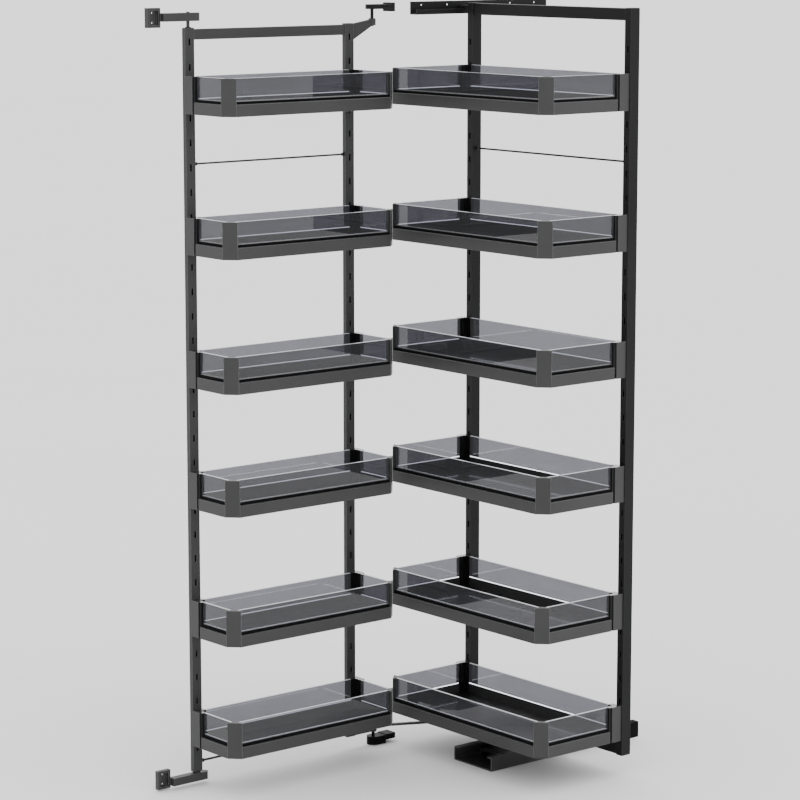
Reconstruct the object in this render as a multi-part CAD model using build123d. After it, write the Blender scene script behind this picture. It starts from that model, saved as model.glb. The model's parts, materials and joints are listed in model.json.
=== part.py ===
from build123d import *
import math
import os

os.makedirs("parts", exist_ok=True)

# Linked pull-out larder fitting of a tall kitchen cabinet, in millimetres.
# The origin is on the swing axis of the door frame, at the cabinet floor.
# +X runs across the opening, +Y into the cabinet and +Z up. The door frame is swung out by
# 90 degrees, so it lies along -Y, and the sliding frame is fully forward.

# Slotted posts
slot_pitch = 50.0
slot_width = 5.0
slot_height = 14.0
slot_foot_margin = 45.0
tube_wall = 1.5
post_cap = 3.0

# Door frame
door_post_outer_y = -470.6
door_post_inner_y = -64.2
door_post_depth = 10.0
door_post_width = 22.4
door_post_bottom = 29.0
door_post_top = 1555.5
door_slot_top_margin = 27.1
door_top_bar_height = 21.0
door_top_bar_thick = 8.0
door_top_bar_drop = 1.5
door_rod_level = 48.0
door_rod_dia = 5.0
tie_rod_dia = 4.0
tie_rod_drop = 270.0

# Swing axis of the door frame
pivot_pin_dia = 7.0
pin_play = 0.05
pivot_eye_dia = 16.0
upper_arm_thick = 6.0
upper_arm_rise = 33.5
upper_eye_drop = 4.5
upper_eye_height = 13.0
lower_arm_thick = 5.0
pin_end = 2.0
foot_height = 18.0
foot_nose = 14.0
foot_block_length = 25.0
foot_tongue_length = 26.0
foot_tongue_bottom = 7.0
foot_tongue_top = 19.0
top_plate_gap = 20.7
top_plate_thick = 9.7
top_plate_length = 51.0
top_block_length = 10.0
top_block_drop = 5.7
top_block_rise = 3.1
mount_screw_dia = 4.4
foot_screw_level = 12.0
foot_screw_first = 18.0
foot_screw_spacing = 22.0

# Sliding frame
inner_post_hinge_x = 34.4
inner_post_far_x = 517.4
inner_post_depth = 24.1
inner_post_width = 17.6
inner_front_y = 241.9
inner_post_bottom = 46.0
inner_post_top = 1593.0
inner_slot_top_margin = 82.1
inner_bar_height = 24.0
inner_bar_inset = 2.0
inner_tie_drop = 308.3
buffer_length = 23.0
buffer_height = 33.0
buffer_rise = 33.0

# Baskets
basket_height = 75.0
rail_height = 24.5
rail_depth = 14.0
rail_groove = 4.5
rail_set_back = 4.0
rail_bevel = 1.0
ledge_depth = 6.0
ledge_thick = 3.0
glass_thick = 4.0
glass_set_back = 9.0
glass_seat = 5.0
glass_play = 0.2
corner_leg = 22.0
corner_depth = 16.0
corner_bevel = 0.8
holder_back_leg = 26.0
holder_side_leg = 32.0
side_plate_length = 26.0
side_plate_thick = 2.0
holder_set_back = 3.0
flute_width = 3.0
flute_depth = 2.0
flute_pitch = 8.0
floor_thick = 6.0
floor_play = 0.3
seam_width = 1.0
seam_depth = 0.6
hook_width = 4.0
hook_height = 10.0
hook_reach = 3.3
hook_margin = 12.0
door_basket_depth = 144.6
door_basket_overhang = 13.8
inner_basket_depth = 227.0
inner_basket_overhang = 6.5
# Where the baskets hang, as shares of their posts' height
door_basket_shares = (0.8894, 0.7046, 0.5279, 0.3646, 0.1896, 0.0368)
inner_basket_shares = (0.8679, 0.6840, 0.5164, 0.3491, 0.1755, 0.0206)

# Floor rail and carriage
floor_rail_left = 205.0
floor_rail_width = 120.0
floor_rail_height = 29.5
floor_rail_wall = 2.5
floor_rail_lip = 14.0
floor_rail_front = 57.0
floor_rail_length = 413.0
floor_screw_dia = 5.0
floor_screw_inset = 33.0
floor_screw_spacing_x = 70.0
wheel_dia = 17.0
wheel_width = 9.0
wheel_play = 0.3
wheel_side_play = 7.5
axle_dia = 6.0
carriage_front = 110.0
carriage_length = 180.0
carriage_plate_thick = 6.0
cheek_thick = 4.0
cheek_gap = 4.0
cheek_height = 14.0
axle_inset = 20.0
neck_width = 60.0
link_plate_gap = 1.5
link_plate_thick = 5.0
link_plate_width = 30.0
link_plate_end = 12.0

# Link arm between door frame and carriage
crank_x = 5.0
crank_y = -126.0
crank_pin_dia = 6.0
link_end_x = 170.0
link_end_y = 205.0
link_bar_thick = 5.0
link_bar_width = 7.0
link_level = 53.0
link_eye_dia = 14.0
link_bow = 8.0
link_gap = 0.4
crank_tab_reach = 12.0
crank_tab_width = 16.0

# Guide rail at the top of the cabinet side, with its roller
guide_left = -14.0
guide_width = 22.0
guide_drop = 22.5
guide_height = 27.0
guide_wall = 2.0
guide_lip_height = 10.5
guide_front = 115.0
guide_length = 388.0
guide_screw_level = 19.5
guide_front_inset = 30.0
guide_rear_inset = 36.0
guide_front_pair = 72.0
guide_rear_pair = 70.0
roller_play = 0.3
roller_height = 8.5
roller_lift = 1.5
roller_pin_dia = 5.0
roller_arm_thick = 4.0
roller_arm_width = 16.0
roller_arm_gap = 3.0

# Brackets that carry the cabinet door
bracket_arm_height = 16.5
bracket_arm_width = 16.0
bracket_arm_front = 63.4
bracket_arm_rear = 26.6
bracket_end_chamfer = 5.0
bracket_plate_length = 31.0
bracket_plate_height = 39.0
bracket_plate_left = -14.0
bracket_plate_thick = 10.0
bracket_pocket_rim = 5.0
bracket_pocket_depth = 6.0
bracket_screw_spacing = 20.0
top_bracket_gap = 14.5
top_bracket_plate_drop = 12.0
low_bracket_gap = 4.5
low_bracket_plate_drop = 5.0

cut = 1.0


def block(x0, x1, y0, y1, z0, z1):
    """Box between two corners."""
    return Pos((x0 + x1) / 2, (y0 + y1) / 2, (z0 + z1) / 2) * Box(x1 - x0, y1 - y0, z1 - z0)


def rod_z(x, y, z0, z1, dia):
    """Upright round rod."""
    return Pos(x, y, (z0 + z1) / 2) * Cylinder(dia / 2, z1 - z0)


def rod_x(x0, x1, y, z, dia):
    """Round rod along X."""
    return Pos((x0 + x1) / 2, y, z) * Rot(0, 90, 0) * Cylinder(dia / 2, x1 - x0)


def rod_y(x, y0, y1, z, dia):
    """Round rod along Y."""
    return Pos(x, (y0 + y1) / 2, z) * Rot(90, 0, 0) * Cylinder(dia / 2, y1 - y0)


def group(*shapes):
    """One node made of several solids."""
    return Compound([solid for shape in shapes for solid in shape.solids()])


def save(name, shape):
    """Write one sub-part."""
    export_step(shape, f"parts/{name}.step")


def slot_levels(first, bottom):
    """Heights of a post's slots, from the first one down to the foot of the post."""
    count = int((first - bottom - slot_foot_margin) / slot_pitch) + 1
    return [first - slot_pitch * i for i in range(count)]


def slotted_post(depth, width, z0, z1, levels):
    """Closed box tube whose front face, at +X, has a row of slots."""
    tube = block(-depth / 2, depth / 2, -width / 2, width / 2, z0, z1)
    tube -= block(-depth / 2 + tube_wall, depth / 2 - tube_wall, -width / 2 + tube_wall,
                  width / 2 - tube_wall, z0 + post_cap, z1 - post_cap)
    slots = [block(depth / 2 - tube_wall - cut, depth / 2 + cut, -slot_width / 2, slot_width / 2,
                   z - slot_height / 2, z + slot_height / 2) for z in levels]
    return tube - slots


# Baskets, made with the back face on the XZ plane, the front towards +Y and the bottom at Z = 0

def rail(length):
    """Rim rail along X, outer face at Y = 0, with a ledge for the floor and a seat for the glass."""
    top = rail_height + rail_groove
    seat = top - glass_seat
    glass_near = glass_set_back - glass_play
    glass_far = glass_set_back + glass_thick + glass_play
    section = Polygon(
        (0, 0),
        (rail_depth + ledge_depth, 0),
        (rail_depth + ledge_depth, ledge_thick),
        (rail_depth, ledge_thick),
        (rail_depth, top),
        (glass_far, top),
        (glass_far, seat),
        (glass_near, seat),
        (glass_near, top),
        (rail_set_back, top),
        (rail_set_back, rail_height),
        (rail_bevel, rail_height),
        (0, rail_height - rail_bevel),
        align=None,
    )
    return extrude(Plane.YZ * section, length / 2, both=True)


def pane(length):
    """Glass pane in its rail."""
    seat = rail_height + rail_groove - glass_seat
    return block(-length / 2 + floor_play, length / 2 - floor_play, glass_set_back,
                 glass_set_back + glass_thick, seat, basket_height)


def basket_sides(width, depth):
    """Length and place of the back, front and two side runs of the rim."""
    side = depth - corner_leg - holder_side_leg
    middle = holder_side_leg + side / 2
    return (
        (width - 2 * holder_back_leg, Location((0, 0, 0), (0, 0, 0))),
        (width - 2 * corner_leg, Location((0, depth, 0), (0, 0, 180))),
        (side, Location((width / 2, middle, 0), (0, 0, 90))),
        (side, Location((-width / 2, middle, 0), (0, 0, -90))),
    )


def corner_post(width, depth):
    """Full-height post across the chamfered front corner at +X, with bevelled edges."""
    x = width / 2
    plan = Polygon(
        (x, depth - corner_leg),
        (x, depth - corner_leg + corner_bevel),
        (x - corner_leg + corner_bevel, depth),
        (x - corner_leg, depth),
        (x - corner_leg, depth - corner_depth),
        (x - corner_depth, depth - corner_leg),
        align=None,
    )
    return extrude(plan, basket_height)


def corner_holder(width, hooks, hook_x):
    """Black fluted holder in the back corner at +X, with hooks that enter the post's slots."""
    x = width / 2
    body = block(x - holder_back_leg, x - side_plate_thick, 0, rail_depth, 0, basket_height)
    body += block(x - rail_depth, x - side_plate_thick, rail_depth, side_plate_length, 0, basket_height)
    body += block(x - rail_depth, x - holder_set_back, side_plate_length, holder_side_leg, 0, basket_height)
    low = ledge_thick + floor_thick
    back_count = int((holder_back_leg - rail_depth) / flute_pitch)
    side_count = int((holder_side_leg - rail_depth) / flute_pitch)
    flutes = []
    for i in range(back_count):
        fx = x - holder_back_leg + flute_pitch * (i + 0.5)
        flutes.append(block(fx - flute_width / 2, fx + flute_width / 2, rail_depth - flute_depth,
                            rail_depth + cut, low, basket_height + cut))
    for i in range(side_count):
        fy = holder_side_leg - flute_pitch * (i + 0.5)
        flutes.append(block(x - rail_depth - cut, x - rail_depth + flute_depth, fy - flute_width / 2,
                            fy + flute_width / 2, low, basket_height + cut))
    body -= flutes
    for z in hooks:
        body += block(hook_x - hook_width / 2, hook_x + hook_width / 2, -hook_reach, 0,
                      z - hook_height / 2, z + hook_height / 2)
    return body


def basket_floor(width, depth):
    """Floor panel on the ledges of the rails, cut across the front corners, with a long seam."""
    x = width / 2 - rail_depth - floor_play
    y0 = rail_depth + floor_play
    y1 = depth - rail_depth - floor_play
    chamfer = x + y1 - (width / 2 + depth - corner_leg - corner_depth - 2 * floor_play)
    plan = Polygon((-x, y0), (x, y0), (x, y1 - chamfer), (x - chamfer, y1),
                   (chamfer - x, y1), (-x, y1 - chamfer), align=None)
    top = ledge_thick + floor_thick
    panel = Pos(0, 0, ledge_thick) * extrude(plan, floor_thick)
    middle = (y0 + y1) / 2
    return panel - block(-x - cut, x + cut, middle - seam_width / 2, middle + seam_width / 2,
                         top - seam_depth, top + cut)


def basket_levels(shares, bottom, top):
    """Heights of the baskets' bottoms on posts that reach from bottom to top."""
    return [bottom + share * (top - bottom) for share in shares]


def save_basket(name, place, width, depth, hooks, hook_x):
    """Frame, glass and base of one basket."""
    sides = basket_sides(width, depth)
    post = corner_post(width, depth)
    plate = block(width / 2 - side_plate_thick, width / 2, 0, side_plate_length, 0, basket_height)
    holder = corner_holder(width, hooks, hook_x)
    rails = [where * rail(length) for length, where in sides]
    panes = [where * pane(length) for length, where in sides]
    metal = group(*rails, post, mirror(post, Plane.YZ), plate, mirror(plate, Plane.YZ))
    base = group(basket_floor(width, depth), holder, mirror(holder, Plane.YZ))
    save(f"{name}_frame", place * metal)
    save(f"{name}_glass", place * group(*panes))
    save(f"{name}_base", place * base)


def hook_levels(slots, level):
    """Heights, above the basket's bottom, of the slots that its holders cover."""
    heights = [z - level for z in slots]
    return [z for z in heights if hook_margin <= z <= basket_height - hook_margin]


# Door frame

door_slots = slot_levels(door_post_top - door_slot_top_margin, door_post_bottom)
door_post = slotted_post(door_post_depth, door_post_width, door_post_bottom, door_post_top, door_slots)
door_span_y0 = door_post_outer_y + door_post_width / 2
door_span_y1 = door_post_inner_y - door_post_width / 2
door_bar_top = door_post_top - door_top_bar_drop
low_bracket_top = door_post_bottom - low_bracket_gap
low_bracket_bottom = low_bracket_top - bracket_arm_height
top_bracket_bottom = door_post_top + top_bracket_gap
top_bracket_top = top_bracket_bottom + bracket_arm_height

outer_post = Pos(0, door_post_outer_y, 0) * door_post
outer_post += rod_z(0, door_post_outer_y, door_post_top, top_bracket_top + pin_end, pivot_pin_dia)
outer_post += rod_z(0, door_post_outer_y, low_bracket_bottom - pin_end, door_post_bottom, pivot_pin_dia)
save("door_post_outer", outer_post)
save("door_post_inner", Pos(0, door_post_inner_y, 0) * door_post)
save("door_top_bar", block(-door_top_bar_thick / 2, door_top_bar_thick / 2, door_span_y0, door_span_y1,
                           door_bar_top - door_top_bar_height, door_bar_top))
save("door_tie_rod", rod_y(0, door_span_y0, door_span_y1, door_post_top - tie_rod_drop, tie_rod_dia))


def door_bottom_bar():
    """Thin bottom rod with the tab and pin that turn the link arm."""
    z0 = door_rod_level - door_rod_dia / 2
    z1 = door_rod_level + door_rod_dia / 2
    bar = rod_y(0, door_span_y0, door_span_y1, door_rod_level, door_rod_dia)
    bar += block(0, crank_tab_reach, crank_y - crank_tab_width / 2, crank_y + crank_tab_width / 2, z0, z1)
    bar += rod_z(crank_x, crank_y, z1, link_level + link_bar_thick + pin_end, crank_pin_dia)
    return bar


save("door_bottom_bar", door_bottom_bar())


upper_eye_bottom = door_post_top - upper_eye_drop
upper_eye_top = upper_eye_bottom + upper_eye_height
top_plate_bottom = upper_eye_top + top_plate_gap


def upper_arm():
    """Triangular arm from the inner post up to the eye on the swing axis."""
    edge = door_post_inner_y + door_post_width / 2
    side = Polygon((edge, door_post_top - upper_arm_rise), (0, upper_eye_bottom), (0, upper_eye_top),
                   (edge, door_post_top), align=None)
    arm = extrude(Plane.YZ * side, upper_arm_thick / 2, both=True)
    arm += rod_z(0, 0, upper_eye_bottom, upper_eye_top, pivot_eye_dia)
    low = upper_eye_bottom - pin_end - cut
    return arm - rod_z(0, 0, low, upper_eye_top + cut, pivot_pin_dia + 2 * pin_play)


def lower_arm():
    """Flat arm from the foot of the inner post to the lower eye."""
    edge = door_post_inner_y + door_post_width / 2
    top = door_post_bottom + lower_arm_thick
    arm = block(-door_post_depth / 2, door_post_depth / 2, edge, 0, door_post_bottom, top)
    arm += rod_z(0, 0, door_post_bottom, top, pivot_eye_dia)
    return arm - rod_z(0, 0, door_post_bottom - cut, top + cut, pivot_pin_dia + 2 * pin_play)


save("door_pivot_arms", group(upper_arm(), lower_arm()))

# Pivot foot and top pivot plate, screwed to the cabinet side


def side_screws(first, spacing, level):
    """Two screw holes along X."""
    return [rod_x(-foot_nose - cut, foot_nose + cut, y, level, mount_screw_dia)
            for y in (first, first + spacing)]


def pivot_foot():
    """Foot with a rounded nose round the axis, a raised tongue behind and the lower pin."""
    foot = rod_z(0, 0, 0, foot_height, 2 * foot_nose)
    foot += block(-foot_nose, foot_nose, 0, foot_block_length, 0, foot_height)
    foot += block(-foot_nose, foot_nose, foot_block_length, foot_block_length + foot_tongue_length,
                  foot_tongue_bottom, foot_tongue_top)
    foot += rod_z(0, 0, foot_height, door_post_bottom + lower_arm_thick + pin_end, pivot_pin_dia)
    return foot - side_screws(foot_screw_first, foot_screw_spacing, foot_screw_level)


def top_pivot_plate():
    """Plate at the top with the upper pin below it and a block at its rear end."""
    top = top_plate_bottom + top_plate_thick
    plate = rod_z(0, 0, top_plate_bottom, top, 2 * foot_nose)
    plate += block(-foot_nose, foot_nose, 0, top_plate_length, top_plate_bottom, top)
    plate += block(-foot_nose, foot_nose, top_plate_length - top_block_length, top_plate_length,
                   top_plate_bottom - top_block_drop, top + top_block_rise)
    plate += rod_z(0, 0, upper_eye_bottom - pin_end, top_plate_bottom, pivot_pin_dia)
    level = top_plate_bottom + top_plate_thick / 2
    return plate - side_screws(foot_screw_first, foot_screw_spacing / 2, level)


save("pivot_foot", pivot_foot())
save("pivot_top_plate", top_pivot_plate())

# Sliding frame

inner_slots = slot_levels(inner_post_top - inner_slot_top_margin, inner_post_bottom)
inner_rear_y = inner_front_y + inner_post_depth
inner_post = Rot(0, 0, -90) * slotted_post(inner_post_depth, inner_post_width, inner_post_bottom,
                                           inner_post_top, inner_slots)
inner_middle_y = inner_front_y + inner_post_depth / 2
inner_span_x0 = inner_post_hinge_x + inner_post_width / 2
inner_span_x1 = inner_post_far_x - inner_post_width / 2
inner_bar_y0 = inner_front_y + inner_bar_inset
inner_bar_y1 = inner_rear_y - inner_bar_inset

save("inner_post_hinge_side", Pos(inner_post_hinge_x, inner_middle_y, 0) * inner_post)
save("inner_post_far_side", Pos(inner_post_far_x, inner_middle_y, 0) * inner_post)
save("inner_top_bar", block(inner_span_x0, inner_span_x1, inner_bar_y0, inner_bar_y1,
                            inner_post_top - inner_bar_height, inner_post_top))
save("inner_bottom_bar", block(inner_span_x0, inner_span_x1, inner_bar_y0, inner_bar_y1,
                               inner_post_bottom, inner_post_bottom + inner_bar_height))
save("inner_tie_rod", rod_x(inner_span_x0, inner_span_x1, inner_middle_y,
                            inner_post_top - inner_tie_drop, tie_rod_dia))
save("rear_buffer", block(inner_post_far_x - inner_post_width / 2, inner_post_far_x + inner_post_width / 2,
                          inner_rear_y, inner_rear_y + buffer_length, inner_post_bottom + buffer_rise,
                          inner_post_bottom + buffer_rise + buffer_height))

# Floor rail, carriage and wheels

floor_rail_right = floor_rail_left + floor_rail_width
floor_rail_middle = floor_rail_left + floor_rail_width / 2
floor_rail_rear = floor_rail_front + floor_rail_length


def floor_rail():
    """Lipped channel on the cabinet floor: a web with four screw holes, two walls and two lips."""
    web = block(floor_rail_left, floor_rail_right, floor_rail_front, floor_rail_rear, 0, floor_rail_wall)
    for side in (-1, 1):
        for y in (floor_rail_front + floor_screw_inset, floor_rail_rear - floor_screw_inset):
            x = floor_rail_middle + side * floor_screw_spacing_x / 2
            web -= rod_z(x, y, -cut, floor_rail_wall + cut, floor_screw_dia)
    lip_bottom = floor_rail_height - floor_rail_wall
    walls = [block(x, x + floor_rail_wall, floor_rail_front, floor_rail_rear,
                   floor_rail_wall, floor_rail_height)
             for x in (floor_rail_left, floor_rail_right - floor_rail_wall)]
    lip_reach = floor_rail_lip - floor_rail_wall
    lips = [block(x, x + lip_reach, floor_rail_front, floor_rail_rear, lip_bottom, floor_rail_height)
            for x in (floor_rail_left + floor_rail_wall, floor_rail_right - floor_rail_lip)]
    return group(web, *walls, *lips)


save("floor_rail", floor_rail())

wheel_outer_x = floor_rail_left + floor_rail_wall + wheel_side_play
wheel_outer_far_x = floor_rail_right - floor_rail_wall - wheel_side_play
axle_level = floor_rail_wall + wheel_play + wheel_dia / 2
front_axle_y = carriage_front + axle_inset
rear_axle_y = carriage_front + carriage_length - axle_inset


def wheelset(y):
    """Axle with a wheel pressed on each end."""
    axle = rod_x(wheel_outer_x + wheel_width / 2, wheel_outer_far_x - wheel_width / 2, y, axle_level, axle_dia)
    axle += rod_x(wheel_outer_x, wheel_outer_x + wheel_width, y, axle_level, wheel_dia)
    axle += rod_x(wheel_outer_far_x - wheel_width, wheel_outer_far_x, y, axle_level, wheel_dia)
    return axle


save("wheelset_front", wheelset(front_axle_y))
save("wheelset_rear", wheelset(rear_axle_y))


def carriage():
    """Carriage in the floor rail, with a neck under the sliding frame and a plate for the link arm."""
    x0 = wheel_outer_x + wheel_width + cheek_gap
    x1 = wheel_outer_far_x - wheel_width - cheek_gap
    y1 = carriage_front + carriage_length
    top = axle_level - cheek_height / 2 + cheek_height
    bottom = axle_level - cheek_height / 2
    body = block(x0, x1, carriage_front, y1, top - carriage_plate_thick / 2, top + carriage_plate_thick / 2)
    body += block(x0, x0 + cheek_thick, carriage_front, y1, bottom, top)
    body += block(x1 - cheek_thick, x1, carriage_front, y1, bottom, top)
    body += block(floor_rail_middle - neck_width / 2, floor_rail_middle + neck_width / 2,
                  inner_bar_y0, inner_bar_y1, top, inner_post_bottom)
    z0 = floor_rail_height + link_plate_gap
    z1 = z0 + link_plate_thick
    half = link_plate_width / 2
    body += block(floor_rail_middle - neck_width / 2, floor_rail_middle + neck_width / 2,
                  link_end_y - half, inner_bar_y0, z0, z1)
    body += block(link_end_x - link_plate_end, floor_rail_middle - neck_width / 2,
                  link_end_y - half, link_end_y + half, z0, z1)
    body += rod_z(link_end_x, link_end_y, z1, link_level - link_gap, link_eye_dia)
    for y in (front_axle_y, rear_axle_y):
        body -= rod_x(x0 - cut, x1 + cut, y, axle_level, axle_dia + 2 * pin_play)
    return body


save("carriage", carriage())


def link_arm():
    """Slightly bowed flat bar with an eye on the crank pin and an eye over the carriage's boss."""
    run = math.hypot(link_end_x - crank_x, link_end_y - crank_y)
    nx = -(link_end_y - crank_y) / run
    ny = (link_end_x - crank_x) / run
    middle = ((crank_x + link_end_x) / 2 + nx * link_bow, (crank_y + link_end_y) / 2 + ny * link_bow)
    half = link_bar_width / 2
    edges = []
    for side in (-1, 1):
        dx = side * half * nx
        dy = side * half * ny
        edges.append(ThreePointArc((crank_x + dx, crank_y + dy), (middle[0] + dx, middle[1] + dy),
                                   (link_end_x + dx, link_end_y + dy)))
    edges.append(Line(edges[0] @ 0, edges[1] @ 0))
    edges.append(Line(edges[0] @ 1, edges[1] @ 1))
    bar = extrude(make_face(edges), link_bar_thick)
    top = link_level + link_bar_thick
    arm = Pos(0, 0, link_level) * bar
    arm += rod_z(crank_x, crank_y, link_level, top, link_eye_dia)
    arm += rod_z(link_end_x, link_end_y, link_level, top, link_eye_dia)
    return arm - rod_z(crank_x, crank_y, link_level - cut, top + cut, crank_pin_dia + 2 * pin_play)


save("link_arm", link_arm())

# Top guide rail and its roller

guide_right = guide_left + guide_width
guide_bottom = inner_post_top - guide_drop
guide_rear = guide_front + guide_length
roller_x = (guide_left + guide_right) / 2
roller_dia = guide_width - 2 * guide_wall - 2 * roller_play
roller_bottom = guide_bottom + guide_wall + roller_lift
roller_arm_bottom = guide_bottom + guide_lip_height + roller_arm_gap


def top_guide_rail():
    """Rail with a tall, drilled wall on the cabinet side, a web and a low lip in front."""
    wall = block(guide_left, guide_left + guide_wall, guide_front, guide_rear,
                 guide_bottom, guide_bottom + guide_height)
    first = guide_front + guide_front_inset
    last = guide_rear - guide_rear_inset
    for y in (first, first + guide_front_pair, last - guide_rear_pair, last):
        wall -= rod_x(guide_left - cut, guide_left + guide_wall + cut, y,
                      guide_bottom + guide_screw_level, mount_screw_dia)
    web = block(guide_left + guide_wall, guide_right, guide_front, guide_rear,
                guide_bottom, guide_bottom + guide_wall)
    lip = block(guide_right - guide_wall, guide_right, guide_front, guide_rear,
                guide_bottom + guide_wall, guide_bottom + guide_lip_height)
    return group(wall, web, lip)


def roller_bracket():
    """Arm from the hinge-side post over the rail's lip, with the roller's pin."""
    post_x = inner_post_hinge_x - inner_post_width / 2
    y0 = inner_middle_y - roller_arm_width / 2
    y1 = inner_middle_y + roller_arm_width / 2
    top = roller_arm_bottom + roller_arm_thick
    arm = block(roller_x - roller_pin_dia, post_x, y0, y1, roller_arm_bottom, top)
    arm += rod_z(roller_x, inner_middle_y, roller_bottom, roller_arm_bottom, roller_pin_dia)
    arm += block(post_x - roller_arm_thick, post_x, y0, y1, guide_bottom, top)
    return arm


def top_roller():
    """Roller on its pin in the guide rail."""
    roller = rod_z(roller_x, inner_middle_y, roller_bottom, roller_bottom + roller_height, roller_dia)
    return roller - rod_z(roller_x, inner_middle_y, roller_bottom - cut,
                          roller_bottom + roller_height + cut, roller_pin_dia + 2 * pin_play)


save("top_guide_rail", top_guide_rail())
save("roller_bracket", roller_bracket())
save("top_roller", top_roller())

# Door brackets


def door_bracket(arm_bottom, plate_bottom):
    """Arm that turns on the outer post's pin, with a recessed plate for the door's screws."""
    arm_top = arm_bottom + bracket_arm_height
    arm_front = door_post_outer_y - bracket_arm_front
    arm_rear = door_post_outer_y + bracket_arm_rear
    plate_front = arm_front - bracket_plate_length
    plate_top = plate_bottom + bracket_plate_height
    half = bracket_arm_width / 2
    plate_right = bracket_plate_left + bracket_plate_thick
    rim = bracket_pocket_rim
    body = block(-half, half, arm_front, arm_rear, arm_bottom, arm_top)
    body = chamfer(body.edges().filter_by(Axis.Z).group_by(Axis.Y)[-1], bracket_end_chamfer)
    body += block(bracket_plate_left, plate_right, plate_front, arm_front, plate_bottom, plate_top)
    body -= block(plate_right - bracket_pocket_depth, plate_right + cut, plate_front + rim,
                  arm_front - rim, plate_bottom + rim, plate_top - rim)
    screw_y = (plate_front + arm_front) / 2
    middle = (plate_bottom + plate_top) / 2
    for side in (-1, 1):
        body -= rod_x(bracket_plate_left - cut, plate_right + cut, screw_y,
                      middle + side * bracket_screw_spacing / 2, mount_screw_dia)
    return body - rod_z(0, door_post_outer_y, arm_bottom - cut, arm_top + cut, pivot_pin_dia + 2 * pin_play)


save("door_bracket_top", door_bracket(top_bracket_bottom, top_bracket_bottom - top_bracket_plate_drop))
save("door_bracket_bottom", door_bracket(low_bracket_bottom, low_bracket_bottom - low_bracket_plate_drop))

# Baskets on both frames

door_spacing = door_post_inner_y - door_post_outer_y
door_basket_y = (door_post_inner_y + door_post_outer_y) / 2
door_levels = basket_levels(door_basket_shares, door_post_bottom, door_post_top)
for number, level in enumerate(door_levels, 1):
    save_basket(f"door_basket_{number}", Location((door_post_depth / 2, door_basket_y, level), (0, 0, -90)),
                door_spacing + 2 * door_basket_overhang, door_basket_depth,
                hook_levels(door_slots, level), door_spacing / 2)

inner_spacing = inner_post_far_x - inner_post_hinge_x
inner_basket_x = (inner_post_far_x + inner_post_hinge_x) / 2
inner_levels = basket_levels(inner_basket_shares, inner_post_bottom, inner_post_top)
for number, level in enumerate(inner_levels, 1):
    save_basket(f"inner_basket_{number}", Location((inner_basket_x, inner_front_y, level), (0, 0, 180)),
                inner_spacing + 2 * inner_basket_overhang, inner_basket_depth,
                hook_levels(inner_slots, level), inner_spacing / 2)
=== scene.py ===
import json
import math

import bmesh
import bpy
import numpy as np
from bpy.props import FloatProperty, FloatVectorProperty, PointerProperty
from mathutils import Euler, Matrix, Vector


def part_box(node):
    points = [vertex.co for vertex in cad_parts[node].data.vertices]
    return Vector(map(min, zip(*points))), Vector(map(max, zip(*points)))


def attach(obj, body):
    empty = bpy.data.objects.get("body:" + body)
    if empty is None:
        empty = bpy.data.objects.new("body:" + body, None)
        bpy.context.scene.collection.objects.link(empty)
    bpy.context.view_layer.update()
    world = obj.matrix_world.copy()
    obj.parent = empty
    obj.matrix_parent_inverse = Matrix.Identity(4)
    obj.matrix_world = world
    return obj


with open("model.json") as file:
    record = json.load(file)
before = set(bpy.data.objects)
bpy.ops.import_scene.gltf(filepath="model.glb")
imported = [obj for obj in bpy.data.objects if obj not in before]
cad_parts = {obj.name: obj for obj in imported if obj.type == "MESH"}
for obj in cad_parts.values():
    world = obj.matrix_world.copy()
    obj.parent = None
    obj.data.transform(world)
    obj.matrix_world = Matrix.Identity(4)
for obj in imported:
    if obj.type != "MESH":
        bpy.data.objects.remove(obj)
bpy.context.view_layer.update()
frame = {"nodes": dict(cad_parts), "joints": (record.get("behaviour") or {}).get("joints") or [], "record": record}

bl_info = {
    "name": "Linked Larder Fitting",
    "version": (1, 0, 0),
    "blender": (4, 5, 0),
    "location": "View3D > Sidebar > Larder",
    "description": "Finishes and small pieces of a swing-out larder fitting with glass baskets",
    "category": "Object",
}

NODES = frame["nodes"]
BODY_OF = {node: body for body, nodes in frame["record"]["behaviour"]["bodies"].items() for node in nodes}
SLOT_OF = {part["node"]: part["material_slot"] for part in frame["record"]["subparts"]}
BASKETS = sorted(node.removesuffix("_glass") for node in NODES if node.endswith("_glass"))
DOOR_BODIES = ("door_frame", "door_bracket_top", "door_bracket_bottom")

# Sizes of the solids that the added pieces sit on, in metres

PANE_REACH = 0.0045  # a pane's points lie this near to the outermost one
SEAT_DEPTH = 0.005  # how deep the panes stand in the rim
GROOVE = 0.005  # from a pane's outer face to the step in the rim
RIM_STEP = 0.0005  # height of that step's foot over the pane's seat
PANE_GAP = 0.0002  # play between pane and rim
EYE_DROP = 0.0045  # from the inner door post's top down to the pivot eye's foot
EYE_HEIGHT = 0.013  # height of the pivot eye
POST_GAP = 0.0045  # from the outer door post's foot down to its bracket
ROD_RADIUS = 0.0025  # radius of the door frame's bottom rod
LINK_END = (0.17, 0.205)  # middle of the link arm's far eye

# Small clearances of the added pieces, in metres

LINE_GAP = 0.0003  # the ground edges and foot lines start this far above the rim
RUN_SPARE = 0.0003  # the seals run this far past the panes' ends
WASHER_PLAY = 0.0001  # the lower post washer lies this far above its bracket
FLOOR_DROP = 0.0004  # the studio floor lies this far below the fitting

# Way in which the surround brightens
SKY_WAY = (0.45, 0.55, 0.7)

# Sizes and colours that a user would change


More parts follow.
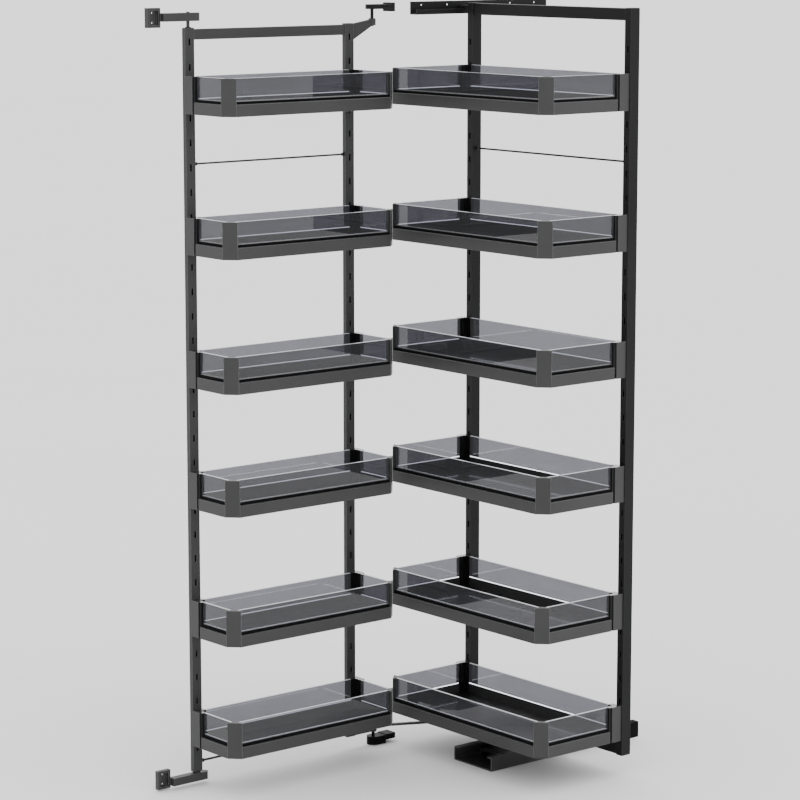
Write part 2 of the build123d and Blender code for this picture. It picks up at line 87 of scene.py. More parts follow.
class LarderCamera(bpy.types.PropertyGroup):
    """Where the photograph was taken from."""
    place: FloatVectorProperty(name="Place", description="Lens centre in the fitting's frame",
                               subtype="TRANSLATION", unit="LENGTH", default=(4.7677, -3.8612, 1.772))
    heading: FloatProperty(name="Heading", description="Turn of the view from +Y towards -X",
                           subtype="ANGLE", default=math.radians(50.45))
    pitch: FloatProperty(name="Pitch", description="Downward tilt", subtype="ANGLE",
                         default=math.radians(9.3914))
    lens: FloatProperty(name="Lens", description="Focal length on a 36 mm wide sensor, in mm", default=131.15)


class LarderFinish(bpy.types.PropertyGroup):
    """Colours and gloss of the fitting's materials."""
    # Painted shade: a darker copy of the door frame's graphite coat, for the shade that falls on the sliding frame
    shaded_powder: FloatVectorProperty(name="Powder Coat", description="Coat of sliding frame and top fittings",
                                subtype="COLOR", min=0, max=1, default=(0.008, 0.008, 0.0084))
    anodised: FloatVectorProperty(name="Basket Metal", description="Graphite finish of the basket rims",
                                  subtype="COLOR", min=0, max=1, default=(0.025, 0.025, 0.0255))
    powder_gloss: FloatProperty(name="Coat Roughness", description="Roughness of the graphite finishes",
                                subtype="FACTOR", min=0, max=1, default=0.42)
    glass: FloatVectorProperty(name="Glass Tint", description="What one pane lets through",
                               subtype="COLOR", min=0, max=1, default=(0.17, 0.17, 0.19))
    # Painted glow: the smoked glass emits this faint light in place of light scattered inside it
    painted_haze: FloatProperty(name="Glass Haze", description="Faint light that the smoked glass scatters",
                        min=0, default=0.02)
    edge: FloatVectorProperty(name="Glass Edge", description="Ground and polished edge of the panes",
                              subtype="COLOR", min=0, max=1, default=(0.34, 0.345, 0.36))
    # Painted highlights: the glass top edges and inner foot lines glow with these strengths, though they are no
    # lamp
    edge_painted_glow: FloatProperty(name="Edge Glow", description="Light that the pane carries to its top edge",
                             min=0, default=0.3)
    foot_painted_glow: FloatProperty(name="Foot Glow", description="Light that gathers at the pane's inner foot",
                             min=0, default=3.0)
    # Painted light: the same graphite coat as the sliding frame, lighter where the door frame catches more light
    lit_door_coat: FloatVectorProperty(name="Door Frame", description="Coat of swinging frame and floor rail",
                                   subtype="COLOR", min=0, max=1, default=(0.025, 0.025, 0.0255))
    panel: FloatVectorProperty(name="Floor Panels", description="Laminate of the basket floors",
                               subtype="COLOR", min=0, max=1, default=(0.008, 0.008, 0.0085))
    plastic: FloatVectorProperty(name="Black Parts", description="Holders, seals, caps and wheels",
                                 subtype="COLOR", min=0, max=1, default=(0.003, 0.003, 0.0034))
    floor_gloss: FloatProperty(name="Floor Roughness", description="Roughness of the laminate's gloss coat",
                               subtype="FACTOR", min=0, max=1, default=0.07)
    zinc: FloatVectorProperty(name="Link Arm", description="Black zinc of the link arm and small steel parts",
                              subtype="COLOR", min=0, max=1, default=(0.03, 0.03, 0.032))


class LarderGlassEdge(bpy.types.PropertyGroup):
    """Polished edges of the glass panes."""
    arris: FloatProperty(name="Arris", description="How far the ground edge reaches down each face",
                         unit="LENGTH", default=0.0003)
    proud: FloatProperty(name="Proud", description="How far the ground skin stands off the pane",
                         unit="LENGTH", default=0.00012)
    # Outer foot line: takes the darker copy of the edge finish, painted shade
    foot: FloatProperty(name="Foot Line", description="Height of the dull line over the outer seal",
                        unit="LENGTH", default=0.0024)
    # Inner foot line: a glowing strip, a painted highlight
    inner_foot: FloatProperty(name="Inner Foot Line", description="Height of the bright line on the inside",
                              unit="LENGTH", default=0.0019)
    # The black seal is partly a real seal, partly painted shade in the groove between rim and pane
    shade_seal: FloatProperty(name="Seal", description="Thickness of the black seal between rim and pane",
                        unit="LENGTH", default=0.0003)


class LarderFittings(bpy.types.PropertyGroup):
    """Caps, washers and ferrules."""
    cap: FloatProperty(name="Post Cap", description="Thickness of the plastic caps on the posts",
                       unit="LENGTH", default=0.0012)
    washer: FloatProperty(name="Washer", description="Thickness of the washers on the pivot pins",
                          unit="LENGTH", default=0.0015)
    ferrule: FloatProperty(name="Ferrule", description="Length of the ferrules on the rods",
                           unit="LENGTH", default=0.007)
    hub: FloatProperty(name="Hub Cap", description="How far the wheels' hub caps stand proud",
                       unit="LENGTH", default=0.0012)


class LarderStage(bpy.types.PropertyGroup):
    """Floor and light."""
    floor_size: FloatProperty(name="Floor", description="Radius of the floor", unit="LENGTH", default=90.0)
    sky_low: FloatProperty(name="Dim Side", description="Strength of the white surround low at -X -Y",
                           default=1.25)
    sky_high: FloatProperty(name="Bright Side", description="Strength of the white surround high at +X +Y",
                            default=2.25)


# Node helpers


def new_material(name):
    """Empty node material with its output and Principled shader."""
    material = bpy.data.materials.new(name)
    material.use_nodes = True
    tree = material.node_tree
    tree.nodes.clear()
    shader = tree.nodes.new("ShaderNodeBsdfPrincipled")
    output = tree.nodes.new("ShaderNodeOutputMaterial")
    tree.links.new(shader.outputs["BSDF"], output.inputs["Surface"])
    return material, tree, shader


def new_group(name, inputs, outputs):
    """Empty node group with number inputs, given with their defaults, and named outputs."""
    tree = bpy.data.node_groups.new(name, "ShaderNodeTree")
    for label, value in inputs:
        socket = tree.interface.new_socket(name=label, in_out="INPUT", socket_type="NodeSocketFloat")
        socket.default_value = value
    for label, kind in outputs:
        tree.interface.new_socket(name=label, in_out="OUTPUT", socket_type=kind)
    source = tree.nodes.new("NodeGroupInput")
    sink = tree.nodes.new("NodeGroupOutput")
    return tree, source, sink


def place_group(tree, group, **values):
    """Put a group into a material and set its inputs."""
    node = tree.nodes.new("ShaderNodeGroup")
    node.node_tree = group
    for label, value in values.items():
        node.inputs[label].default_value = value
    return node


def feed(tree, socket, value):
    """Give an input its value: a link when the value is a socket, else the value itself."""
    if isinstance(value, bpy.types.NodeSocket):
        tree.links.new(value, socket)
    else:
        socket.default_value = value


def multiply(tree, first, second):
    """Product of two values, each a socket or a number."""
    node = tree.nodes.new("ShaderNodeMath")
    node.operation = "MULTIPLY"
    feed(tree, node.inputs[0], first)
    feed(tree, node.inputs[1], second)
    return node.outputs[0]


def object_coords(tree):
    """Object coordinates, which stay with a piece when it moves."""
    return tree.nodes.new("ShaderNodeTexCoord").outputs["Object"]


def noise_node(tree, coords, scale, detail=2.0, rough=0.5):
    """Noise, whose scale is a socket or a number."""
    node = tree.nodes.new("ShaderNodeTexNoise")
    feed(tree, node.inputs["Scale"], scale)
    node.inputs["Detail"].default_value = detail
    node.inputs["Roughness"].default_value = rough
    tree.links.new(coords, node.inputs["Vector"])
    return node.outputs["Fac"]


def mix_colour(tree, factor, first, second):
    """Blend of two colours, each a socket or a value."""
    node = tree.nodes.new("ShaderNodeMix")
    node.data_type = "RGBA"
    tree.links.new(factor, node.inputs["Factor"])
    for label, value in (("A", first), ("B", second)):
        socket = next(s for s in node.inputs if s.name == label and s.type == "RGBA")
        feed(tree, socket, value if isinstance(value, bpy.types.NodeSocket) else (*value, 1.0))
    return next(s for s in node.outputs if s.type == "RGBA")


def map_range(tree, value, low, high, out_low=0.0, out_high=1.0):
    """Clamped linear map."""
    node = tree.nodes.new("ShaderNodeMapRange")
    tree.links.new(value, node.inputs["Value"])
    for label, number in (("From Min", low), ("From Max", high), ("To Min", out_low), ("To Max", out_high)):
        node.inputs[label].default_value = number
    return node.outputs["Result"]


def normal_height(tree, kind):
    """Upward part of a normal: 1 on a face that looks straight up."""
    geometry = tree.nodes.new("ShaderNodeNewGeometry")
    split = tree.nodes.new("ShaderNodeSeparateXYZ")
    tree.links.new(geometry.outputs[kind], split.inputs[0])
    return split.outputs["Z"]


def add_bump(tree, shader, height, normal, strength, distance):
    """Bump on top of a normal, given to a shader."""
    bump = tree.nodes.new("ShaderNodeBump")
    bump.inputs["Strength"].default_value = strength
    bump.inputs["Distance"].default_value = distance
    tree.links.new(height, bump.inputs["Height"])
    tree.links.new(normal, bump.inputs["Normal"])
    tree.links.new(bump.outputs["Normal"], shader.inputs["Normal"])


def tint(colour, scale, lift=0.0):
    """Colour times a scale, plus an even lift."""
    return tuple(part * scale + lift for part in colour)


# Shared surface effects


def edge_group():
    """Edge Catch: a rounded normal along sharp edges, and a mask that is 1 on them."""
    tree, source, sink = new_group(
        "Edge Catch", [("Radius", 0.0006)], [("Mask", "NodeSocketFloat"), ("Normal", "NodeSocketVector")])
    bevel = tree.nodes.new("ShaderNodeBevel")
    bevel.samples = 4
    tree.links.new(source.outputs["Radius"], bevel.inputs["Radius"])
    geometry = tree.nodes.new("ShaderNodeNewGeometry")
    dot = tree.nodes.new("ShaderNodeVectorMath")
    dot.operation = "DOT_PRODUCT"
    tree.links.new(bevel.outputs["Normal"], dot.inputs[0])
    tree.links.new(geometry.outputs["True Normal"], dot.inputs[1])
    tree.links.new(map_range(tree, dot.outputs["Value"], 0.995, 0.85), sink.inputs["Mask"])
    tree.links.new(bevel.outputs["Normal"], sink.inputs["Normal"])
    return tree


def coat_group():
    """Powder Grain: fine orange peel height, a slow mottle and a light dust on faces that look up."""
    tree, source, sink = new_group(
        "Powder Grain", [("Grain", 700.0), ("Mottle", 7.0)],
        [("Height", "NodeSocketFloat"), ("Mottle", "NodeSocketFloat"), ("Dust", "NodeSocketFloat")])
    coords = object_coords(tree)
    up = map_range(tree, normal_height(tree, "Normal"), 0.6, 1.0)
    speck = map_range(tree, noise_node(tree, coords, 160.0, 4.0, 0.7), 0.5, 0.75)
    tree.links.new(noise_node(tree, coords, source.outputs["Grain"], 3.0), sink.inputs["Height"])
    tree.links.new(noise_node(tree, coords, source.outputs["Mottle"], 4.0), sink.inputs["Mottle"])
    tree.links.new(multiply(tree, up, speck), sink.inputs["Dust"])
    return tree


# Materials


def powder_material(name, colour, rough, edges, grain, gloss, metallic=0.0):
    """Powder coat or painted metal: mottled colour, paler edges that are partly wear and partly painted highlight,
    dust on top, orange peel.
    """
    material, tree, shader = new_material(name)
    edge = place_group(tree, edges, Radius=0.0009)
    coat = place_group(tree, grain)
    mottle = map_range(tree, coat.outputs["Mottle"], 0.35, 0.65)
    dust = multiply(tree, coat.outputs["Dust"], 0.35)
    # Paler sharp edges: partly wear, partly a painted highlight where the edges catch light
    wear_and_highlight = multiply(tree, edge.outputs["Mask"], 0.8)
    base = mix_colour(tree, mottle, tint(colour, 0.88), tint(colour, 1.14))
    base = mix_colour(tree, dust, base, tint(colour, 1.5, 0.006))
    base = mix_colour(tree, wear_and_highlight, base, tint(colour, 7.0, 0.04))
    tree.links.new(base, shader.inputs["Base Color"])
    rough_map = map_range(tree, coat.outputs["Mottle"], 0.3, 0.7, rough - 0.05, rough + 0.05)
    tree.links.new(rough_map, shader.inputs["Roughness"])
    shader.inputs["Metallic"].default_value = metallic
    shader.inputs["Specular IOR Level"].default_value = gloss
    add_bump(tree, shader, coat.outputs["Height"], edge.outputs["Normal"], 0.1, 0.00012)
    return material


def glass_material(colour, painted_haze):
    """Smoked glass with a faint painted glow for its haze, whose tint drifts slightly."""
    material, tree, shader = new_material("smoked_glass")
    smear = map_range(tree, noise_node(tree, object_coords(tree), 7.0, 3.0), 0.35, 0.65)
    base = mix_colour(tree, smear, tint(colour, 0.97), tint(colour, 1.04))
    tree.links.new(base, shader.inputs["Base Color"])
    shader.inputs["Roughness"].default_value = 0.0
    shader.inputs["Metallic"].default_value = 0.0
    shader.inputs["Transmission Weight"].default_value = 1.0
    # Emission: a painted glow, since the glass is no lamp
    shader.inputs["Emission Color"].default_value = (0.92, 0.93, 1.0, 1.0)
    shader.inputs["Emission Strength"].default_value = painted_haze
    shader.inputs["IOR"].default_value = 1.46
    return material


def edge_material(name, colour, glow):
    """Ground and polished glass edge: fine grinding streaks, and a painted glow that stands in for the light seen
    on the edge.
    """
    material, tree, shader = new_material(name)
    streak = noise_node(tree, object_coords(tree), 260.0, 3.0, 0.6)
    base = mix_colour(tree, map_range(tree, streak, 0.35, 0.7), tint(colour, 0.75), colour)
    tree.links.new(base, shader.inputs["Base Color"])
    tree.links.new(map_range(tree, streak, 0.3, 0.7, 0.12, 0.3), shader.inputs["Roughness"])
    # Painted highlight: the edge glows though it is no lamp
    shader.inputs["Emission Color"].default_value = (0.9, 0.93, 1.0, 1.0)
    shader.inputs["Emission Strength"].default_value = glow
    return material


def plastic_material(name, colour, edges, rough, grain_scale, gloss, level_colour=None, level_rough=0.5):
    """Moulded black plastic with an eroded grain; faces that look up may be a glossy laminate."""
    material, tree, shader = new_material(name)
    coords = object_coords(tree)
    edge = place_group(tree, edges, Radius=0.0007)
    tone = map_range(tree, noise_node(tree, coords, 30.0, 4.0), 0.3, 0.7)
    upright = map_range(tree, normal_height(tree, "True Normal"), 0.3, 0.8, 1.0, 0.0)
    # Paler sharp edges: partly wear, partly a painted highlight where the edges catch light
    wear_and_highlight = multiply(tree, edge.outputs["Mask"], 0.7)
    base = mix_colour(tree, tone, tint(colour, 0.8), tint(colour, 1.3))
    base = mix_colour(tree, wear_and_highlight, base, tint(colour, 2.2, 0.02))
    if level_colour:
        level = mix_colour(tree, tone, tint(level_colour, 0.95), level_colour)
        base = mix_colour(tree, upright, level, base)
        tree.links.new(map_range(tree, upright, 0.0, 1.0, 1.0, 0.0), shader.inputs["Coat Weight"])
        shader.inputs["Coat Roughness"].default_value = level_rough
    tree.links.new(base, shader.inputs["Base Color"])
    rough_map = map_range(tree, tone, 0.0, 1.0, rough - 0.05, rough + 0.05)
    tree.links.new(rough_map, shader.inputs["Roughness"])
    shader.inputs["Specular IOR Level"].default_value = gloss
    grain = multiply(tree, noise_node(tree, coords, grain_scale), upright)
    add_bump(tree, shader, grain, edge.outputs["Normal"], 0.15, 0.0001)
    return material


def floor_material():
    """Pale studio floor with a barely visible tone."""
    material, tree, shader = new_material("studio_floor")
    tone = noise_node(tree, object_coords(tree), 0.8)
    base = mix_colour(tree, tone, (0.84, 0.84, 0.845), (0.87, 0.87, 0.872))
    tree.links.new(base, shader.inputs["Base Color"])
    shader.inputs["Roughness"].default_value = 0.75
    shader.inputs["Specular IOR Level"].default_value = 0.2
    return material


def dress(node, material):
    """Give a CAD node its material."""
    slots = NODES[node].data.materials
    slots.clear()
    slots.append(material)


# Surfaces worked out with numpy


def mesh_piece(name, points, faces, material, smooth=False):
    """Object with its place in its mesh: points that meet are merged and faces turned outwards."""
    mesh = bpy.data.meshes.new(name)
    mesh.from_pydata(np.asarray(points, float).tolist(), [], [list(map(int, face)) for face in faces])
    work = bmesh.new()
    work.from_mesh(mesh)
    bmesh.ops.remove_doubles(work, verts=work.verts, dist=1e-6)
    bmesh.ops.recalc_face_normals(work, faces=work.faces)
    work.to_mesh(mesh)
    work.free()
    mesh.polygons.foreach_set("use_smooth", np.full(len(mesh.polygons), smooth))
    mesh.materials.append(material)
    mesh.update()
    piece = bpy.data.objects.new(name, mesh)
    bpy.context.scene.collection.objects.link(piece)
    return piece


def ride_piece(name, shapes, material, body, smooth=False):
    """One piece from several (points, faces) shapes, riding on a body and taking a slot's finish."""
    starts = np.cumsum([0] + [len(points) for points, faces in shapes])
    points = np.concatenate([points for points, faces in shapes])
    faces = [face + start for (some, own), start in zip(shapes, starts) for face in own]
    piece = mesh_piece(name, points, faces, material, smooth)
    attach(piece, body)
    return piece


def turn_angles(steps):
    """Angles of even steps round a whole turn."""
    return np.linspace(0, 2 * math.pi, steps + 1)[:-1]


def quad_grid(rows, columns, wrap_rows=False, wrap_columns=False):
    """Quads of a grid of points, as indices into them row by row."""
    row, step = np.meshgrid(np.arange(rows if wrap_rows else rows - 1),
                            np.arange(columns if wrap_columns else columns - 1), indexing="ij")
    far = (row + 1) % rows
    turn = (step + 1) % columns
    corners = [row * columns + step, far * columns + step, far * columns + turn, row * columns + turn]
    return list(np.stack(corners, axis=-1).reshape(-1, 4))


def carried(points, ends):
    """Surface through rows of section points: row k, point j, with the section closed on itself.

    ends lists the faces, as indices into the section, that close the first and the last row."""
    rows, count = points.shape[:2]
    faces = quad_grid(rows, count, wrap_columns=True)
    for end in ends:
        faces += [np.array(end), np.array(end) + (rows - 1) * count]
    return points.reshape(-1, 3), faces


def turned(profile, centre, axis, sign=1, steps=40):
    """Solid of revolution: point = centre + h axis + r (cos t, sin t) across, for profile points (r, h)."""
    profile = np.asarray(profile, float)
    turn = turn_angles(steps)
    across = [k for k in range(3) if k != axis]
    points = np.zeros((steps, len(profile), 3)) + np.asarray(centre, float)
    points[:, :, axis] += sign * profile[:, 1]
    points[:, :, across[0]] += np.cos(turn)[:, None] * profile[:, 0]
    points[:, :, across[1]] += np.sin(turn)[:, None] * profile[:, 0]
    return points.reshape(-1, 3), quad_grid(steps, len(profile), wrap_rows=True)


def rounded_stack(centre, half, radius, levels, steps=5):
    """Loft of rounded rectangles: each ring is four quarter circles about the corners' centres.

    levels lists (inset, height) for each ring, and a flat face closes each end."""
    turn = np.linspace(0, math.pi / 2, steps)
    quarter = np.repeat(np.arange(4), steps)
    angle = np.tile(turn, 4) + quarter * math.pi / 2
    corner_x = np.array([1, -1, -1, 1])[quarter]
    corner_y = np.array([1, 1, -1, -1])[quarter]
    inset = np.array([level[0] for level in levels])[:, None]
    height = np.array([level[1] for level in levels])[:, None]
    points = np.zeros((len(levels), 4 * steps, 3))
    points[:, :, 0] = centre[0] + corner_x * (half[0] - radius) + (radius - inset) * np.cos(angle)
    points[:, :, 1] = centre[1] + corner_y * (half[1] - radius) + (radius - inset) * np.sin(angle)
    points[:, :, 2] = centre[2] + height
    return carried(points, [np.arange(4 * steps)])


def disc_profile(radius, thick, edge=0.0003):
    """Half profile of a disc with bevelled rims, from the axis round to the axis."""
    return [(0, 0), (radius - edge, 0), (radius, edge), (radius, thick - edge), (radius - edge, thick),
            (0, thick)]


# Glass panes


def panes_of(basket):
    """Lowest and highest corner, thin axis and outward side of a basket's four panes."""
    mesh = NODES[f"{basket}_glass"].data
    points = np.empty(len(mesh.vertices) * 3, np.float32)
    mesh.vertices.foreach_get("co", points)
    points = points.reshape(-1, 3).astype(float)
    low, high = points.min(axis=0), points.max(axis=0)
    panes = []
    for axis in (0, 1):
        for side, near in ((-1, points[:, axis] < low[axis] + PANE_REACH),
                           (1, points[:, axis] > high[axis] - PANE_REACH)):
            panes.append((points[near].min(axis=0), points[near].max(axis=0), axis, side))
    return panes


def along_pane(low, high, thin, side, wide, depth, height):
    """Points from arrays of places along a pane, depths from its outer face and heights over its seat."""
    points = np.zeros(np.broadcast(wide, depth, height).shape + (3,))
    outer = high[thin] if side > 0 else low[thin]
    points[..., 1 - thin] = (low[1 - thin] + high[1 - thin]) / 2 + wide
    points[..., thin] = outer + side * depth
    points[..., 2] = low[2] + height
    return points


def edge_skin(low, high, thin, side, arris, proud):
    """Ground skins over a pane's top edge and over its two upright edges, as two lists of shapes.

    A U-shaped section, given by depths across the pane and insets from its edge, is carried up one
    edge, along the top and down the other."""
    thick = high[thin] - low[thin]
    half = (high[1 - thin] - low[1 - thin]) / 2
    top = high[2] - low[2]
    foot = SEAT_DEPTH + LINE_GAP
    depth = np.array([proud, proud, -thick - proud, -thick - proud, -thick, -thick, 0, 0])
    inset = np.array([arris, -proud, -proud, arris, arris, 0, 0, arris])
    way = np.array([-1, -1, 1, 1])[:, None]
    level = np.array([0, 1, 1, 0])[:, None]
    points = along_pane(low, high, thin, side, way * (half - inset), depth + 0 * way,
                        foot + level * (top - inset - foot))
    ends = [[0, 1, 6, 7], [1, 2, 5, 6], [2, 3, 4, 5]]
    return [carried(points[1:3], ends)], [carried(points[:2], ends), carried(points[2:], ends)]


def strip(low, high, thin, side, depths, heights, spare):
    """Bar with a closed section of (depth, height) points, carried along a pane and spare past its ends."""
    half = (high[1 - thin] - low[1 - thin]) / 2 + spare
    way = np.array([-half, half])[:, None]
    points = along_pane(low, high, thin, side, way, np.array(depths)[None, :], np.array(heights)[None, :])
    count = len(depths)
    return carried(points, [[k, k + 1, count - 2 - k, count - 1 - k] for k in range(count // 2 - 1)])


def foot_line(pane, near, far, rise, short):
    """Thin line along a pane's foot, between two depths, that stops short of the pane's ends."""
    low = SEAT_DEPTH + LINE_GAP
    return strip(*pane, [near, far, far, near], [low, low, low + rise, low + rise], -short)


# Steps


class LARDER_OT_camera(bpy.types.Operator):
    """Put the camera where the photograph was taken from"""
    bl_idname = "larder.camera"
    bl_label = "Camera"

    def execute(self, context):
        settings = context.scene.larder_camera
        data = bpy.data.cameras.new("camera")
        data.lens = settings.lens
        data.sensor_width = 36.0
        data.clip_end = 300.0
        camera = bpy.data.objects.new("camera", data)
        camera.location = settings.place
        camera.rotation_euler = Euler((math.radians(90) - settings.pitch, 0, settings.heading))
        context.scene.collection.objects.link(camera)
        context.scene.camera = camera
        return {"FINISHED"}


class LARDER_OT_stage(bpy.types.Operator):
    """Lay the pale floor and set the soft studio light"""
    bl_idname = "larder.stage"
    bl_label = "Stage"

    def execute(self, context):
        settings = context.scene.larder_stage
        turn = turn_angles(64)
        rim = np.stack([np.cos(turn), np.sin(turn), np.zeros(len(turn))], axis=1) * settings.floor_size
        rim[:, 2] = -FLOOR_DROP
        floor = mesh_piece("studio_floor", rim, [range(len(turn))], floor_material())
        self.add_surround(context, settings)
        return {"FINISHED"}

    def add_surround(self, context, settings):
        """White surround that is brightest overhead on the +X +Y side."""
        world = bpy.data.worlds.new("surround")
        world.use_nodes = True
        tree = world.node_tree
        background = tree.nodes["Background"]
        background.inputs["Color"].default_value = (1, 1, 1, 1)
        along = tree.nodes.new("ShaderNodeVectorMath")
        along.operation = "DOT_PRODUCT"
        along.inputs[1].default_value = SKY_WAY
        tree.links.new(tree.nodes.new("ShaderNodeTexCoord").outputs["Generated"], along.inputs[0])
        strength = map_range(tree, along.outputs["Value"], -1.0, 1.0, settings.sky_low, settings.sky_high)
        tree.links.new(strength, background.inputs["Strength"])
        context.scene.world = world


class LARDER_OT_finishes(bpy.types.Operator):
    """Give every CAD node its finish"""
    bl_idname = "larder.finishes"
    bl_label = "Finishes"

    def execute(self, context):
        settings = context.scene.larder_finish
        edges = edge_group()
        grain = coat_group()
        rough = settings.powder_gloss
        finishes = {
            "graphite_metal": powder_material("graphite_coat_shaded", settings.shaded_powder, rough, edges, grain,
                                              gloss=0.12),
            "graphite_aluminium": powder_material("graphite_rim", settings.anodised, rough, edges, grain,
                                                  gloss=0.35),
            "smoked_glass": glass_material(settings.glass, settings.painted_haze),
            "black_plastic": plastic_material("black_plastic", settings.plastic, edges, rough=0.38,
                                              grain_scale=900.0, gloss=0.05),
            "rubber_black": plastic_material("black_rubber", settings.plastic, edges, rough=0.7,
                                             grain_scale=400.0, gloss=0.05),
            "zinc_steel": powder_material("black_zinc", settings.zinc, 0.34, edges, grain, gloss=0.4,
                                          metallic=0.5),
        }
        # One graphite coat in two copies: lighter on the door side, darker on the sliding side, as painted light
        # and shade
        swinging = powder_material("graphite_door_lit", settings.lit_door_coat, rough, edges, grain, gloss=0.3)
        panel = plastic_material("basket_base", tint(settings.plastic, 2), edges, rough=0.38,
                                 grain_scale=900.0, gloss=0.2, level_colour=settings.panel,
                                 level_rough=settings.floor_gloss)
        for node, slot in SLOT_OF.items():
            door_side = node == "floor_rail" or BODY_OF[node] in DOOR_BODIES
            if node.endswith("_base"):
                dress(node, panel)
            elif slot == "graphite_metal" and door_side:
                dress(node, swinging)
            else:
                dress(node, finishes[slot])
        return {"FINISHED"}


class LARDER_OT_glass_edges(bpy.types.Operator):
    """Grind and polish the edges of the glass panes, and lay glowing foot lines as painted highlights"""
    bl_idname = "larder.glass_edges"
    bl_label = "Glass Edges"

    def execute(self, context):
        settings = context.scene.larder_glass_edge
        colours = context.scene.larder_finish
        arris, proud = settings.arris, settings.proud
        # Top edges glow faintly and inner foot lines glow strongly: painted highlights
        polished = edge_material("glass_edge", colours.edge, colours.edge_painted_glow)
        bright = edge_material("glass_foot_glow", colours.edge, colours.foot_painted_glow)
        # Darker copy of the edge finish, with no glow: painted shade on the upright ends and outer foot lines
        dull = edge_material("glass_end_shaded", tint(colours.edge, 0.6), 0.0)
        for basket in BASKETS:
            tops, feet, ends = [], [], []
            for pane in panes_of(basket):
                low, high, thin, side = pane
                inner = low[thin] - high[thin]
                top, upright = edge_skin(*pane, arris, proud)
                tops += top
                ends += upright
                ends.append(foot_line(pane, 0.0, proud, settings.foot, arris))
                feet.append(foot_line(pane, inner, inner - proud, settings.inner_foot, arris))
            body = BODY_OF[f"{basket}_glass"]
            ride_piece(f"{basket}_glass_edge", tops, polished, body)
            ride_piece(f"{basket}_glass_foot_glow", feet, bright, body)
            ride_piece(f"{basket}_glass_end_shaded", ends, dull, body)
        return {"FINISHED"}


class LARDER_OT_seals(bpy.types.Operator):
    """Lay the black seal between each rim and its pane, which also paints the groove's shade black"""
    bl_idname = "larder.seals"
    bl_label = "Seals"

    def execute(self, context):
        skin = context.scene.larder_glass_edge.shade_seal
        finish = bpy.data.materials["black_rubber"]
        outer = GROOVE + skin / 2
        top = SEAT_DEPTH + skin
        # Black strip in the groove: partly seal, partly painted shade
        depths = [outer, outer, PANE_GAP, PANE_GAP, GROOVE, GROOVE]
        heights = [RIM_STEP, top, top, SEAT_DEPTH, SEAT_DEPTH, RIM_STEP]
        for basket in BASKETS:
            shapes = [strip(*pane, depths, heights, RUN_SPARE) for pane in panes_of(basket)]
            ride_piece(f"{basket}_seal", shapes, finish, BODY_OF[f"{basket}_glass"])
        return {"FINISHED"}


class LARDER_OT_post_caps(bpy.types.Operator):
    """Cap both ends of the four posts"""
    bl_idname = "larder.post_caps"
    bl_label = "Post Caps"

    def execute(self, context):
        cap = context.scene.larder_fittings.cap
        finish = bpy.data.materials["black_plastic"]
        corner = 0.0009
        insets = (0.0, 0.0, 0.0002, 0.0006)
        shares = (0.0, 0.6, 0.88, 1.0)
        plain_low, plain_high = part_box("door_post_inner")
        for node in ("door_post_outer", "door_post_inner", "inner_post_hinge_side", "inner_post_far_side"):
            low, high = map(np.array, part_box(node))
            if node == "door_post_outer":
                # This post's box takes in its pins, so its thickness and ends are the other's
                for axis in (0, 2):
                    low[axis], high[axis] = plain_low[axis], plain_high[axis]
            middle = (low + high) / 2
            half = (high - low)[:2] / 2
            shapes = []
            for level, sign in ((high[2], 1), (low[2], -1)):
                rings = [(inset, sign * cap * share) for inset, share in zip(insets, shares)]
                shapes.append(rounded_stack((middle[0], middle[1], level), half, corner, rings))
            ride_piece(f"{node}_caps", shapes, finish, BODY_OF[node])
        return {"FINISHED"}


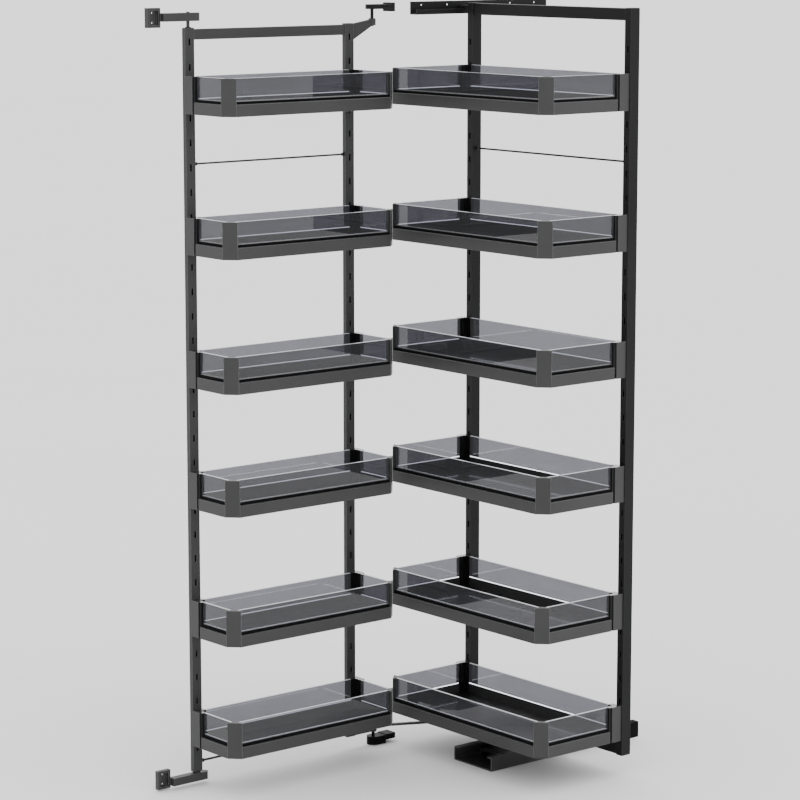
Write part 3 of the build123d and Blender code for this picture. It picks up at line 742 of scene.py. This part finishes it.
class LARDER_OT_fittings(bpy.types.Operator):
    """Fit the washers, ferrules, hub caps and pin heads"""
    bl_idname = "larder.fittings"
    bl_label = "Small Fittings"

    def execute(self, context):
        settings = context.scene.larder_fittings
        self.washers(settings)
        self.ferrules(settings)
        self.hub_caps(settings)
        self.pin_heads()
        return {"FINISHED"}

    def washers(self, settings):
        """Nylon washers on the swing axis and on the outer post's pins."""
        finish = bpy.data.materials["black_plastic"]
        foot, head = (corner[2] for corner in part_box("door_post_inner"))
        outer_y = sum(corner[1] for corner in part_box("door_post_outer")) / 2
        eye_top = head - EYE_DROP + EYE_HEIGHT
        swing = disc_profile(0.0068, settings.washer)
        upper = disc_profile(0.0062, settings.washer)
        lower = disc_profile(0.0078, POST_GAP - settings.cap - WASHER_PLAY)
        shapes = [
            turned(lower, (0, outer_y, foot - POST_GAP + WASHER_PLAY), 2),
            turned(swing, (0, 0, foot - settings.washer), 2),
            turned(swing, (0, 0, eye_top), 2),
            turned(upper, (0, outer_y, head + settings.cap), 2),
        ]
        ride_piece("pivot_washers", shapes, finish, "door_frame")

    def ferrules(self, settings):
        """Turned ferrules where the tie rods and the bottom rod meet the posts."""
        finish = bpy.data.materials["graphite_coat_shaded"]
        length = settings.ferrule
        straight = length * 0.7
        taper = 0.0006
        for node, axis, radius in (("door_tie_rod", 1, 0.0036), ("inner_tie_rod", 0, 0.0036),
                                   ("door_bottom_bar", 1, 0.0042)):
            low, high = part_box(node)
            place = [(a + b) / 2 for a, b in zip(low, high)]
            if node == "door_bottom_bar":
                # This rod's box takes in its crank tab and pin
                place[0] = 0.0
                place[2] = low[2] + ROD_RADIUS
            profile = [(0, 0), (radius, 0), (radius, straight), (radius - taper, length), (0, length)]
            shapes = []
            for end, sign in ((low[axis], 1), (high[axis], -1)):
                place[axis] = end
                shapes.append(turned(profile, place, axis, sign, 28))
            ride_piece(f"{node}_ferrules", shapes, finish, BODY_OF[node], True)

    def hub_caps(self, settings):
        """Hub caps with a dished middle on the carriage's wheels."""
        finish = bpy.data.materials["black_zinc"]
        radii = (0, 0.002, 0.0026, 0.0044, 0.0048, 0.0048, 0)
        shares = (0.5, 0.5, 1, 1, 0.6, 0, 0)
        profile = [(radius, settings.hub * share) for radius, share in zip(radii, shares)]
        for node in ("wheelset_front", "wheelset_rear"):
            low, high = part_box(node)
            middle = [(a + b) / 2 for a, b in zip(low, high)]
            shapes = [turned(profile, (end, middle[1], middle[2]), 0, sign, 28)
                      for end, sign in ((low[0], -1), (high[0], 1))]
            ride_piece(f"{node}_hubs", shapes, finish, node)

    def pin_heads(self):
        """Retaining head on the crank pin and button screw with a socket on the link's far eye."""
        finish = bpy.data.materials["black_zinc"]
        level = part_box("link_arm")[1][2]
        crank = next(joint["pos_m"] for joint in frame["joints"] if joint["name"] == "link_turn")
        head = [(0, 0), (0.0052, 0), (0.0052, 0.0008), (0.0044, 0.0014), (0.0034, 0.0016), (0.0034, 0.0022),
                (0.003, 0.0026), (0, 0.0026)]
        screw = [(0, 0), (0.0052, 0), (0.0052, 0.0004), (0.0047, 0.0014), (0.0035, 0.0022), (0.0022, 0.0026),
                 (0.0018, 0.0025), (0.0016, 0.0012), (0, 0.0012)]
        for name, profile, place, body in (("crank_pin_head", head, crank, "door_frame"),
                                           ("link_screw_head", screw, LINK_END, "link_arm")):
            shape = turned(profile, (place[0], place[1], level), 2, 1, 32)
            ride_piece(name, [shape], finish, body)


class LARDER_PT_panel(bpy.types.Panel):
    """Steps of the larder fitting"""
    bl_label = "Larder Fitting"
    bl_idname = "LARDER_PT_panel"
    bl_space_type = "VIEW_3D"
    bl_region_type = "UI"
    bl_category = "Larder"

    def draw(self, context):
        for operator in OPERATORS:
            self.layout.operator(operator.bl_idname)


SETTINGS = {
    "larder_camera": LarderCamera,
    "larder_finish": LarderFinish,
    "larder_glass_edge": LarderGlassEdge,
    "larder_fittings": LarderFittings,
    "larder_stage": LarderStage,
}
OPERATORS = (LARDER_OT_camera, LARDER_OT_stage, LARDER_OT_finishes, LARDER_OT_glass_edges,
             LARDER_OT_seals, LARDER_OT_post_caps, LARDER_OT_fittings)
CLASSES = (*SETTINGS.values(), *OPERATORS, LARDER_PT_panel)


def register():
    """Register the settings, operators and panel."""
    for item in CLASSES:
        bpy.utils.register_class(item)
    for name, settings in SETTINGS.items():
        setattr(bpy.types.Scene, name, PointerProperty(type=settings))


def unregister():
    """Remove the settings, operators and panel."""
    for name in SETTINGS:
        delattr(bpy.types.Scene, name)
    for item in reversed(CLASSES):
        bpy.utils.unregister_class(item)


def main():
    """Make the whole fitting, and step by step."""
    register()
    bpy.ops.larder.camera()
    bpy.ops.larder.stage()
    bpy.ops.larder.finishes()
    bpy.ops.larder.glass_edges()
    bpy.ops.larder.seals()
    bpy.ops.larder.post_caps()
    bpy.ops.larder.fittings()


if __name__ == "__main__":
    main()
